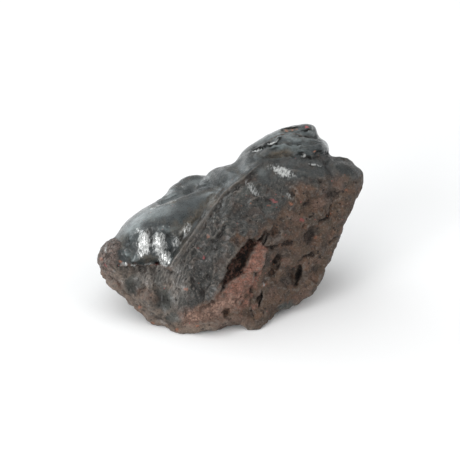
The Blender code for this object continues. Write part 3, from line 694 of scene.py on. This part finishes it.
def areas(at):
    """How far each point is in each area, from 0 to 1; also the strip under the rim, and the slab's top."""
    drawn, front, flat = at.drawn, at.front, at.flat
    off_crust = from_area(flat, CRUST_AREA)
    off_knob = from_area(flat, KNOB_AREA)
    crust_back = soft_step(CRUST_REACH, 0.4, crust_lobes(drawn) + 0.8 * grain(drawn, 5.0, 3))
    crust = soft_step(0.35, -0.35, off_crust) * front + crust_back * (1 - front)
    crust *= 1 - front * soft_step(0.3, -0.3, off_knob)
    glossy = soft_step(1.2, -1.0, from_area(flat, GLOSSY_AREA)) * front
    crust = np.maximum(crust, 0.65 * glossy)

    fade = 0.8 + 1.6 * soft_step(8.0, 20.0, at.across)
    brown = soft_step(fade, -fade, from_area(flat, BROWN_AREA) + 2.4 * grain(drawn, 2.2, 4)) * front
    brown += (1 - front) * soft_step(-0.18, 0.1, grain(drawn, 9.0, 20))
    light = soft_step(1.6, -1.6, from_area(flat, PALE_PAINTED_LIGHT_AREA) + 1.6 * grain(drawn, 3.2, 17)) * front
    lip = front * bell(from_line(flat, LIP), 0.9)

    off_slab = from_area(at.bent(0.5, 0.3), SLAB_AREA)
    blur = 0.4 + 2.0 * soft_step(-9.0, -16.0, at.up)
    slab = soft_step(blur, -blur, off_slab + 2.0 * blur * grain(drawn, 1.6, 22)) * front
    slab_top = front * soft_step(0.25, -0.25, off_slab) * soft_step(*SLAB_FADE, at.up)

    under_rim = soft_step(-15.5, -13.0, at.up) * soft_step(0.2, 0.8, off_crust)
    under_rim *= front * soft_step(-12.5, -14.5, at.across) * soft_step(-25.5, -23.5, at.across)
    fibre = soft_step(1.0, -1.0, from_area(flat, FIBRE_AREA)) * front
    marks = {"crust": crust, "brown": brown, "light": np.maximum(light, lip), "lip": lip, "slab": slab,
             "band": soft_step(1.2, -0.8, from_area(flat, LOW_BAND)) * front,
             "leaf": soft_step(0.5, -0.5, from_area(flat, LEAF_AREA)) * front,
             "knob": soft_step(0.5, -0.5, off_knob) * front,
             "fibre": np.maximum(fibre, under_rim)}
    return marks, under_rim, slab_top


def texture(at, marks, under_rim):
    """How high the surface's own lumps and fibres stand, in millimetres."""
    drawn, crust, broken = at.drawn, marks["crust"], 1 - marks["crust"]
    lumps = 0.5 * grain(drawn, 4.2, 5) + 0.3 * grain(drawn, 1.9, 6) + 0.16 * grain(drawn, 0.9, 7)
    lift = broken * (1 - 0.45 * marks["light"]) * lumps
    lift -= broken * 0.25 * np.abs(grain(drawn, 2.4, 8)) * (1 - marks["slab"])
    lift += crust * (0.12 * grain(drawn, 4.0, 9) + 0.05 * grain(drawn, 1.4, 10))
    swaying = drawn.copy()
    swaying[:, :2] += at.wander
    lift += marks["fibre"] * 0.2 * grain(swaying, 0.8, 11, (1, 4, 3), 22)
    lift += marks["slab"] * 0.15 * grain(drawn, 0.8, 12, (3.0, 1, 1), 4)
    lift += marks["knob"] * 0.45 * grain(drawn, 1.3, 18)
    lift += under_rim * 0.3 * grain(drawn, 1.2, 13, (1, 5, 2), 0)
    hidden_pits = soft_step(0.12, 0.34, grain(drawn, 3.4, 19))
    return lift - broken * (1 - at.front) * 0.9 * hidden_pits


def placed_forms(at, marks, outer):
    """How high the drawing's forms stand, in millimetres; marks the crevice and the pits' painted shade."""
    lift = np.zeros(len(at.drawn))
    for ridge in RIDGES:
        lift += at.seen * ridge.height * bell(from_line(at.rough, ridge.places), ridge.width)
    for plate in PLATES:
        off = from_area(at.rough, plate.corners)
        lift += at.seen * plate.height * soft_step(plate.edge, -plate.edge, off)
    creased = at.seen * soft_step(-7.6, -11.6, at.across) * soft_step(-21.0, -17.5, at.across)
    lift -= creased * CREASE_DEPTH * bell(from_line(at.bent(0.15, 0), CREASE), CREASE_WIDTH)

    torn = at.bent(0.6, 1.3)
    off_crevice = from_area(torn, CREVICE)
    shreds = 0.9 * grain(at.drawn, 1.7, 21) + 0.4 * grain(at.drawn, 0.8, 23)
    lift += at.front * shreds * bell(off_crevice, 1.2)
    pit_shade = soft_step(1.2, 0.3, from_spot(torn, CREVICE_HEART)) * at.front
    sharp = at.bent(0.2, 0.15)
    for spot in SPOTS:
        deep = spot.height < DEEP
        inside = soft_step(1.15, 0.0, from_spot(sharp if deep else at.rough, spot))
        lift += at.seen * spot.height * inside
        if deep:
            pit_shade = np.maximum(pit_shade, inside)
    for swell in SWELLS:
        off = np.linalg.norm(at.drawn[:, :2] - np.array(swell.place), axis=1) / swell.reach
        lift += swell.height * outer * soft_step(1.0, 0.2, off)
    marks["crevice_red_and_shade"] = soft_step(1.0, -0.6, off_crevice) * at.front
    marks["pit_shade"] = pit_shade * at.front
    return lift


def seam(at, marks):
    """How high the seam's ribs stand, in millimetres; marks them, the rim, and the large lobe's crest."""
    off = from_line(at.bent(0.2, 0), SEAM)
    thin = soft_step(*THIN_SEAM, at.across)
    rib = bell(off - RIB_OFFSET, RIB_WIDTH) * at.front
    thin_rib = bell(off, THIN_RIB_WIDTH) * at.front
    lift = (1 - thin) * (RIB_HEIGHT * rib - 0.4 * at.front * bell(off, 0.9))
    lift += thin * (THIN_RIB_HEIGHT * thin_rib - 0.45 * at.front * bell(off, 1.2))
    strength = soft_step(7.0, 1.0, at.across)
    rib = (rib + thin * (thin_rib - rib)) * (0.3 + 0.7 * strength)
    crest = 0.8 * at.seen * bell(from_line(at.rough, CREST_LINE), 0.3)
    marks["rib"] = np.maximum(rib, crest)
    marks["seam"] = soft_step(1.5 - 0.6 * thin, 0.3, off) * at.front * strength
    marks["rim"] = bell(from_line(at.rough, RIM) + 0.2, 0.4) * at.front
    return lift


def paint(at, marks, facing):
    """Marks the patches and flecks that are only colour or gloss."""
    marks["tan"] = at.seen * strongest(TAN_PATCHES, at.flat, 1.3, 0.3)
    marks["bloom"] = at.seen * strongest(PAINTED_SHEEN, at.flat, 1.3, 0.3)
    marks["dark_and_painted_shade"] = at.seen * strongest(DARK_PATCHES_AND_SHADE, at.rough, 1.3, 0.5)
    stained = [spot._replace(height=1) for spot in BROWN_HOLLOWS]
    marks["hole"] = at.front * strongest(stained, at.rough, 1.3, 0.5)
    fray = 0.3 * grain(at.drawn, 0.9, 14, (1, 1.6, 1), 5)
    marks["glint"] = at.seen * strongest(GLINTS, at.drawn[:, :2], 1.3, 0.35, fray)
    open_faces = soft_step(0.08, 0.25, facing)
    for colour, rows in FLECKS.items():
        places = at.rough if colour in SOFT_FLECKS else at.bent(0, 0.5)
        marks[colour] = open_faces * strongest(table(Spot, *rows), places, 1.2, 0.6)


def work(surface):
    """Smooths the crust, roughens the broken stone, and cuts the fine forms of the front."""
    at = Places(surface)
    marks, under_rim, slab_top = areas(at)
    surface.smooth(BROKEN_SMOOTHING, np.ones(len(at.drawn)))
    firm = 1 - 0.8 * at.seen * bell(from_line(at.drawn[:, :2], CREASE), 1.2)
    surface.smooth(CRUST_SMOOTHING, np.maximum(marks["crust"] * firm, marks["fibre"]))

    facing = surface.facing()
    outer = soft_step(-0.75, -0.35, facing[:, 2])
    lift = texture(at, marks, under_rim) + slab_top * SLAB_HEIGHT
    lift += placed_forms(at, marks, outer) + seam(at, marks)
    paint(at, marks, facing[:, 2])
    surface.points += off_drawing(facing * lift[:, None])
    low, high = (np.array(corner) for corner in packed_box)
    margin = BOX_MARGIN * MM
    surface.points = np.clip(surface.points, low + (margin, margin, 0), high - margin)
    marks["hollow"] = surface.hollowness(3, 0.1)
    marks["bowl"] = surface.hollowness(30, 0.45)
    for name, values in marks.items():
        surface.mark(name, values)


class Wire:
    """One output of a shader node. Sums and products of wires and numbers add Math nodes."""

    def __init__(self, socket):
        self.socket = socket

    def join(self, operation, first, second):
        """A Math node of two values."""
        tree = self.socket.id_data
        node = tree.nodes.new("ShaderNodeMath")
        node.operation = operation
        for socket, value in zip(node.inputs, (first, second)):
            plug(value, socket)
        return Wire(node.outputs[0])

    def __add__(self, other):
        return self.join("ADD", self, other)

    def __radd__(self, other):
        return self.join("ADD", other, self)

    def __sub__(self, other):
        return self.join("SUBTRACT", self, other)

    def __rsub__(self, other):
        return self.join("SUBTRACT", other, self)

    def __mul__(self, other):
        return self.join("MULTIPLY", self, other)

    def __rmul__(self, other):
        return self.join("MULTIPLY", other, self)


def plug(value, socket):
    """Links a wire to a socket, or sets the socket's own value."""
    if isinstance(value, Wire):
        socket.id_data.links.new(value.socket, socket)
    else:
        socket.default_value = value


class Finish:
    """A material that is being made."""

    def __init__(self, name):
        self.material = bpy.data.materials.new(name)
        self.material.use_nodes = True
        self.tree = self.material.node_tree
        self.shader = self.tree.nodes["Principled BSDF"].inputs

    def add(self, kind, settings=None, inputs=None, output=0):
        """Any node: its settings first, then its sockets; gives one of its outputs."""
        node = self.tree.nodes.new("ShaderNode" + kind)
        for name, value in (settings or {}).items():
            setattr(node, name, value)
        for name, value in (inputs or {}).items():
            plug(value, node.inputs[name])
        return Wire(node.outputs[output])

    def mask(self, name):
        """One of the values kept for each point of the surface."""
        return self.add("Attribute", {"attribute_name": name}, output="Fac")

    def grain(self, size, detail=3, roughness=0.55, stretch=None, turn=0, warp=0.0):
        """Noise from 0 to 1 on the stone itself, with grains of a size in millimetres."""
        place = self.add("TexCoord", output="Object")
        if stretch:
            turns = (math.radians(90) - CAMERA_ELEVATION, math.radians(turn), 0)
            place = self.add("Mapping", {"vector_type": "TEXTURE"},
                             {"Vector": place, "Rotation": turns, "Scale": stretch})
        return self.add("TexNoise", {}, {"Vector": place, "Scale": 1 / (size * MM), "Detail": detail,
                                         "Roughness": roughness, "Distortion": warp})

    def between(self, value, low, high, start=0.0, end=1.0):
        """Takes a value from low..high to start..end, softly and clamped."""
        return self.add("MapRange", {"interpolation_type": "SMOOTHSTEP"},
                        {"Value": value, "From Min": low, "From Max": high, "To Min": start, "To Max": end})

    def patches(self, low, high, *grain):
        """Patches of noise: 0 where the grain is at low, and 1 where it is at high."""
        return self.between(self.grain(*grain), low, high)

    def specks(self, spacing, edge, core, left_out, kept):
        """Specks at some of many scattered places, which are chosen by the number that each one has."""
        place = self.add("TexCoord", output="Object")
        inputs = {"Vector": place, "Scale": 1 / (spacing * MM)}
        off = self.add("TexVoronoi", {"feature": "F1"}, inputs, "Distance")
        number = self.add("TexVoronoi", {"feature": "F1"}, inputs, "Color")
        return self.between(off, edge, core) * self.between(number, left_out, kept)

    def most(self, first, second):
        """The greater of two values."""
        return self.add("Math", {"operation": "MAXIMUM"}, {0: first, 1: second})

    def mix(self, share, first, second):
        """A mix of two colours."""
        first, second = (colour if isinstance(colour, Wire) else (*colour, 1) for colour in (first, second))
        return self.add("Mix", {"data_type": "RGBA"}, {0: share, 6: first, 7: second}, 2)


class Hematite(Finish):
    """Glossy blue-grey crust, and dark, rough, rusty stone where it broke."""

    def __init__(self):
        super().__init__("hematite")
        self.crust, self.light = self.mask("crust"), self.mask("light")
        self.slab, self.band = self.mask("slab"), self.mask("band")
        self.leaf, self.fibre = self.mask("leaf"), self.mask("fibre")
        self.bloom, self.tan = self.mask("bloom"), self.mask("tan")
        self.brown, self.glint = self.mask("brown"), self.mask("glint")
        self.broken = 1 - self.crust
        self.mottle = self.patches(0.38, 0.62, 5.0, 4)
        self.stain = self.patches(0.47, 0.66, 3.0, 4, 0.6)
        self.lumps = self.patches(0.38, 0.62, 1.9, 4, 0.65)
        self.grit = self.patches(0.41, 0.59, 0.8, 4, 0.7)
        self.dust = self.patches(0.4, 0.6, 0.38, 3, 0.7)
        self.salt = self.patches(0.56, 0.66, 0.42, 2, 0.6)
        self.pepper = self.patches(0.46, 0.34, 0.55, 3, 0.6)
        self.streaks = self.patches(0.35, 0.65, 0.7, 4, 0.6, (1, 5, 3), 0)
        self.threads = self.patches(0.38, 0.62, 0.38, 4, 0.6, (1, 6, 3), 22, 0.4)

    def grey_stone(self):
        """The dark grey broken stone."""
        strokes = self.patches(0.38, 0.62, 0.55, 4, 0.65, (1, 4, 2), 35)
        grey = self.mix(strokes * 0.6 + self.grit * 0.4, *GREY_STONE)
        grey = self.mix(self.lumps * 0.35, grey, (0.046, 0.043, 0.038))
        return self.mix(self.stain * 0.5, grey, (0.085, 0.052, 0.038))

    def brown_stone(self):
        """The reddish brown broken stone."""
        brown = self.mix(self.lumps * 0.5 + self.grit * 0.5, *BROWN_STONE)
        brown = self.mix(self.patches(0.4, 0.6, 3.2, 3, 0.5) * 0.55, brown, (0.083, 0.068, 0.050))
        brown = self.mix(self.patches(0.5, 0.62, 2.2, 4, 0.6) * 0.65, brown, (0.052, 0.040, 0.037))
        brown = self.mix(self.stain * 0.55, brown, (0.190, 0.100, 0.062))
        return self.mix(self.patches(0.54, 0.68, 4.2, 3) * 0.6, brown, (0.052, 0.035, 0.025))

    def broken_stone(self):
        """All of the broken stone, by its areas."""
        grit, lumps, mottle, mask = self.grit, self.lumps, self.mottle, self.mask
        layers = self.patches(0.38, 0.62, 0.5, 4, 0.7, (4, 1, 2), 3)
        pale = self.mix(grit * 0.45 + lumps * 0.55, *PALE_PAINTED_LIGHT_STONE)
        slate = self.mix(self.dust * 0.4 + lumps * 0.6, *SLATE)
        clay = self.mix(grit * 0.6 + lumps * 0.4, *CLAY)
        colour = self.mix(self.brown, self.grey_stone(), self.brown_stone())
        for share, over in (
                (self.leaf * 0.7, self.mix(self.streaks, *GREY_LEAF)),
                # Painted light: the lower left is painted paler, over its pale stone.
                (self.light * (0.6 + mottle * 0.35), pale),
                (mask("slate") * (0.75 + mottle * 0.25), slate),
                (mask("clay") * (0.45 + mottle * 0.35), clay),
                (mask("umber") * (0.5 + mottle * 0.3), self.mix(grit, *UMBER)),
                (self.fibre * (0.35 + lumps * 0.45), self.mix(self.threads, *GREY_FIBRES)),
                (self.slab * 0.9, self.mix(layers * 0.5 + self.dust * 0.5, *RED_SLAB)),
                (self.band * 0.7, self.mix(grit, *LOW_RED_BAND)),
                (mask("knob") * 0.75, self.mix(grit, *ROUGH_KNOB)),
                (mask("lip") * (0.25 + lumps * 0.5), (0.270, 0.170, 0.120)),
                (self.between(mask("hollow"), 0.42, 0.12) * (0.25 + lumps * 0.35), (0.210, 0.185, 0.160)),
                (self.salt * (1 - self.light * 0.6) * 0.25, (0.330, 0.280, 0.235)),
                (self.pepper * (1 - self.light * 0.6) * 0.3, (0.012, 0.009, 0.007))):
            colour = self.mix(share, colour, over)
        return colour

    def skin(self):
        """The crust."""
        brushed = self.patches(0.36, 0.64, 0.6, 4, 0.65, (4, 1, 2), -27)
        skin = self.mix(self.mottle, *CRUST_SKIN)
        skin = self.mix(self.stain * 0.6, skin, (0.036, 0.030, 0.021))
        skin = self.mix(self.dust * 0.2, skin, (0.050, 0.060, 0.062))
        # Painted sheen: a pale blue highlight painted on the crests.
        skin = self.mix(self.bloom * (0.35 + self.mottle * 0.2 + brushed * 0.45), skin, PAINTED_SHEEN_COLOUR)
        skin = self.mix(brushed * 0.18, skin, (0.045, 0.054, 0.054))
        return self.mix(self.tan * (0.4 + self.grit * 0.5), skin, SKIN_TAN)

    def edges_and_hollows(self, colour):
        """The seam, the rim, and the painted shade of the hollows and pits, over a colour."""
        grit, lumps, mask = self.grit, self.lumps, self.mask
        shade = self.between(mask("hollow"), 0.56, 0.95) * 0.35
        shade = shade + self.between(mask("bowl"), 0.58, 1.0) * 0.55
        shade = shade * (1 - self.crust * 0.5) * (1 - self.light * 0.35) * (0.75 + self.dust * 0.25)
        # The crevice: red-brown stone, with painted shade darkening it toward black.
        red_and_shade = self.mix(self.patches(0.42, 0.64, 0.7, 4, 0.75), *CREVICE_RED_AND_SHADE)
        # Painted shade: the deep pits and the crevice's middle are painted black.
        depth = self.between(mask("pit_shade") + grit * 0.5 + lumps * 0.3, 0.55, 1.05)
        for share, over in (
                (self.crust * self.salt * 0.15, (0.130, 0.140, 0.138)),
                (self.crust * self.pepper * 0.3, (0.008, 0.008, 0.007)),
                (mask("seam") * (0.2 + lumps * 0.3), (0.080, 0.058, 0.044)),
                (mask("rib") * (0.15 + lumps * 0.35), (0.200, 0.178, 0.155)),
                (mask("rim") * (0.25 + grit * 0.55), (0.310, 0.190, 0.140)),
                (shade, HOLLOW_BLACK),
                (self.between(mask("crevice_red_and_shade") + grit * 0.3, 0.45, 1.0) * 0.85, red_and_shade),
                (mask("hole") * 0.7, self.mix(grit, *HOLLOW_STAIN)),
                (depth * 0.9, PAINTED_PIT_SHADE)):
            colour = self.mix(share, colour, over)
        return colour

    def finished(self):
        """Plugs everything into the shader, and gives the material."""
        crust, broken, grit, dust = self.crust, self.broken, self.grit, self.dust
        pores = self.specks(1.7, 0.22, 0.12, 0.4, 0.45) * broken
        pores = pores * (1 - self.most(self.slab, self.band) * 0.8)
        orange = self.specks(1.45, 0.16, 0.09, 0.64, 0.7) * self.patches(0.46, 0.6, 7.0, 2)
        pink = self.specks(1.9, 0.12, 0.07, 0.6, 0.66)
        pale = self.specks(1.15, 0.18, 0.08, 0.6, 0.7) * broken
        # Dark patches and painted shade; on the crust they also take away the coat and the reflection.
        dark_and_painted_shade = self.between(self.mask("dark_and_painted_shade"), 0.2, 0.7) * (0.75 + dust * 0.25)
        strands = self.patches(0.38, 0.6, 0.4, 4, 0.65, (1, 3.0, 2.0), 8)
        shine = self.between(self.glint + strands * 0.6, 0.62, 1.4)
        colour = self.edges_and_hollows(self.mix(crust, self.broken_stone(), self.skin()))
        for share, over in (
                (pores * 0.8, (0.010, 0.007, 0.006)),
                (orange * (1 - crust * 0.8) * 0.8, ORANGE_SPECK),
                (pink * (1 - crust * 0.7) * 0.8, PINK_SPECK),
                (pale * 0.6, PALE_SPECK),
                (self.mask("orange") * (0.5 + grit * 0.5), ORANGE_FLECK),
                (self.mask("red") * (0.3 + grit * 0.7), RED_FLECK),
                (dark_and_painted_shade, DARK_AND_SHADE_BLACK),
                (shine, POLISHED)):
            colour = self.mix(share, colour, over)
        plug(colour, self.shader["Base Color"])

        metal = self.between(shine + pale * 0.4, 0.1, 0.9, 0.0, 0.9)
        plug(self.most(metal, dark_and_painted_shade * crust * 0.9), self.shader["Metallic"])
        rough = 0.66 - crust * 0.24 - shine * 0.12 + dark_and_painted_shade * 0.25 + (dust - 0.5) * 0.3
        plug(rough, self.shader["Roughness"])
        sheen = self.patches(0.36, 0.64, 2.6, 4, 0.65)
        crust_coat = crust * (1 - dark_and_painted_shade) * (1 - self.tan * 0.5) * (0.24 + sheen * 0.26 + self.bloom * 0.5)
        broken_coat = broken * (0.4 - self.brown * 0.32) * sheen
        plug(crust_coat + broken_coat, self.shader["Coat Weight"])
        plug(0.22, self.shader["Coat Roughness"])
        plug(1.55, self.shader["Coat IOR"])
        plug(1.4, self.shader["IOR"])

        fine = self.grain(0.3, 3, 0.6)
        relief = broken * (grit * 0.26 + dust * 0.16 + fine * 0.12 - pores * 0.3)
        relief = relief + crust * (fine * 0.020 + dust * 0.020 + self.grain(1.5, 4, 0.6) * 0.2)
        relief = relief + self.glint * self.streaks * 0.1
        relief = relief + self.fibre * self.threads * 0.1 + self.leaf * self.streaks * 0.09
        bump = self.add("Bump", {}, {"Height": relief, "Strength": 1.0, "Distance": MM}, "Normal")
        plug(bump, self.shader["Normal"])
        return self.material


def stone():
    """The stone, worked and finished."""
    mesh = even_copy(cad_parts["hematite"])
    work(Surface(mesh))
    mesh.materials.append(Hematite().finished())
    piece = added("stone", mesh)
    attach(piece, "root")
    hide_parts("hematite")


def aimed(thing, place, target):
    """Puts a camera or light at a place, turned toward a target."""
    thing.location = place
    thing.rotation_euler = (Vector(place) - Vector(target)).to_track_quat("Z", "Y").to_euler()


def camera():
    """The camera, at the photograph's angle."""
    data = bpy.data.cameras.new("camera")
    data.sensor_width = SENSOR_WIDTH
    data.lens = SENSOR_WIDTH * CAMERA_DISTANCE / (DRAWING_MM_PER_PIXEL * MM * PICTURE_WIDTH)
    data.clip_end = CAMERA_REACH
    eye = added("camera", data)
    target = Vector(DRAWING_MIDDLE) * MM
    aimed(eye, target + Vector((0, -COS, SIN)) * CAMERA_DISTANCE, target)
    bpy.context.scene.camera = eye


def softbox(name, place, size, power, colour=(1, 1, 1)):
    """A square, soft light that faces the stone."""
    data = bpy.data.lights.new(name, "AREA")
    data.shape = "SQUARE"
    data.size = size
    data.energy = power
    data.color = colour
    light = added(name, data)
    aimed(light, place, STONE_MIDDLE)


def studio():
    """A pale floor under a pale sky, with soft lights."""
    finish = Finish("floor")
    plug(FLOOR_COLOUR, finish.shader["Base Color"])
    plug(0.9, finish.shader["Roughness"])
    plug(0.1, finish.shader["Specular IOR Level"])
    shape = bmesh.new()
    bmesh.ops.create_grid(shape, x_segments=1, y_segments=1, size=FLOOR_SIZE)
    shape.transform(Matrix.Translation((0, 0, -FLOOR_GAP * MM)))
    mesh = bpy.data.meshes.new("floor")
    shape.to_mesh(mesh)
    shape.free()
    mesh.materials.append(finish.material)
    floor = added("floor", mesh)

    world = bpy.data.worlds.new("sky")
    world.use_nodes = True
    sky = world.node_tree.nodes["Background"]
    plug((1, 1, 1, 1), sky.inputs["Color"])
    plug(SKY_STRENGTH, sky.inputs["Strength"])
    bpy.context.scene.world = world

    softbox("overhead", (-0.2, 0.2, 0.9), 1.3, 5.0, (0.97, 0.99, 1.0))
    softbox("back", (-0.75, 0.7, 0.36), 0.8, 4.2, (0.92, 0.98, 1.0))
    softbox("key", (-0.7, -0.6, 0.5), 0.4, 2.4)
    softbox("left_front", (-0.42, -0.66, 0.18), 0.4, 3.4)
    softbox("right", (0.7, -0.2, 0.45), 0.7, 1.8)
    bpy.context.scene.view_settings.view_transform = "Standard"


camera()
stone()
studio()
